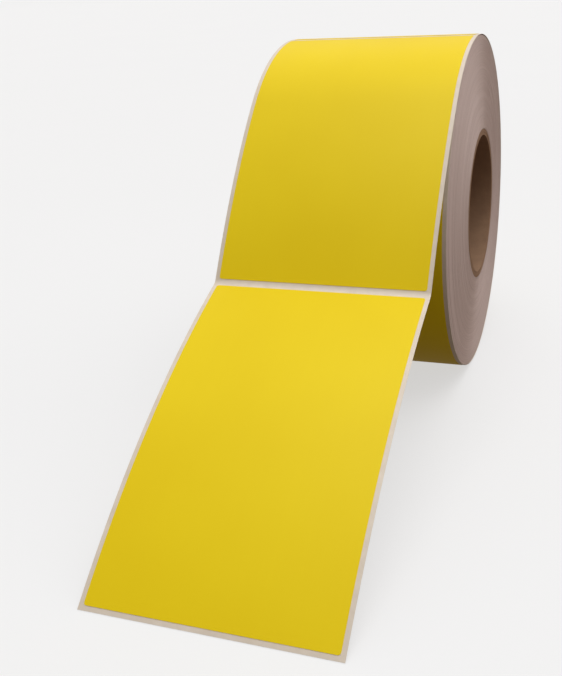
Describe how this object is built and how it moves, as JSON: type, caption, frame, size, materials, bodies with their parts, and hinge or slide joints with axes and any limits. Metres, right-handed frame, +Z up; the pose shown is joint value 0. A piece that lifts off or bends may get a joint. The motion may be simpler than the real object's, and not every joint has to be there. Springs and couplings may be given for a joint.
{
  "type": "roll of die-cut labels",
  "caption": "Roll of yellow die-cut vinyl labels on a release liner, wound face out on a paperboard core, with its leading end drawn off to the front.",
  "frame": {"origin": "on the surface that the roll rests on, midway between the ends of its width and midway between its back and the cut end of the web", "axes": "+Z up, X along the roll's axis, -Y towards the cut end of the web"},
  "size_m": [0.1076, 0.3584, 0.1829],
  "materials": {
    "label_vinyl": "satin yellow vinyl film",
    "release_liner": "off-white silicone coated paper, stands in for paper",
    "wound_edges": "warm grey slit edges of the wound turns, matt",
    "core_board": "brown spiral-wound paperboard, stands in for cardboard",
    "tape_film": "buff adhesive tape"
  },
  "bodies": {
    "web": {"liner_outer_turn": "release_liner", "label_2": "label_vinyl", "label_3": "label_vinyl", "label_4": "label_vinyl", "label_5": "label_vinyl"},
    "pack": {"core_tube": "core_board", "start_tape": "tape_film", "wound_web": "wound_edges"},
    "tail": {"liner_tail_end": "release_liner"},
    "first_label": {"label_1": "label_vinyl"}
  },
  "joints": [
    {"name": "core_turn", "type": "hinge", "parent": "web", "child": "pack", "pos_m": [0, 0.08781, 0.09141], "axis": [1, 0, 0], "continuous": true},
    {"name": "tail_lift", "type": "hinge", "parent": "web", "child": "tail", "pos_m": [0, -0.03768, 0.08153], "axis": [-1, 0, 0], "range_deg": [0, 60]},
    {"name": "label_peel", "type": "hinge", "parent": "tail", "child": "first_label", "pos_m": [0, -0.03975, 0.08138], "axis": [-1, 0, 0], "range_deg": [0, 75]}
  ]
}
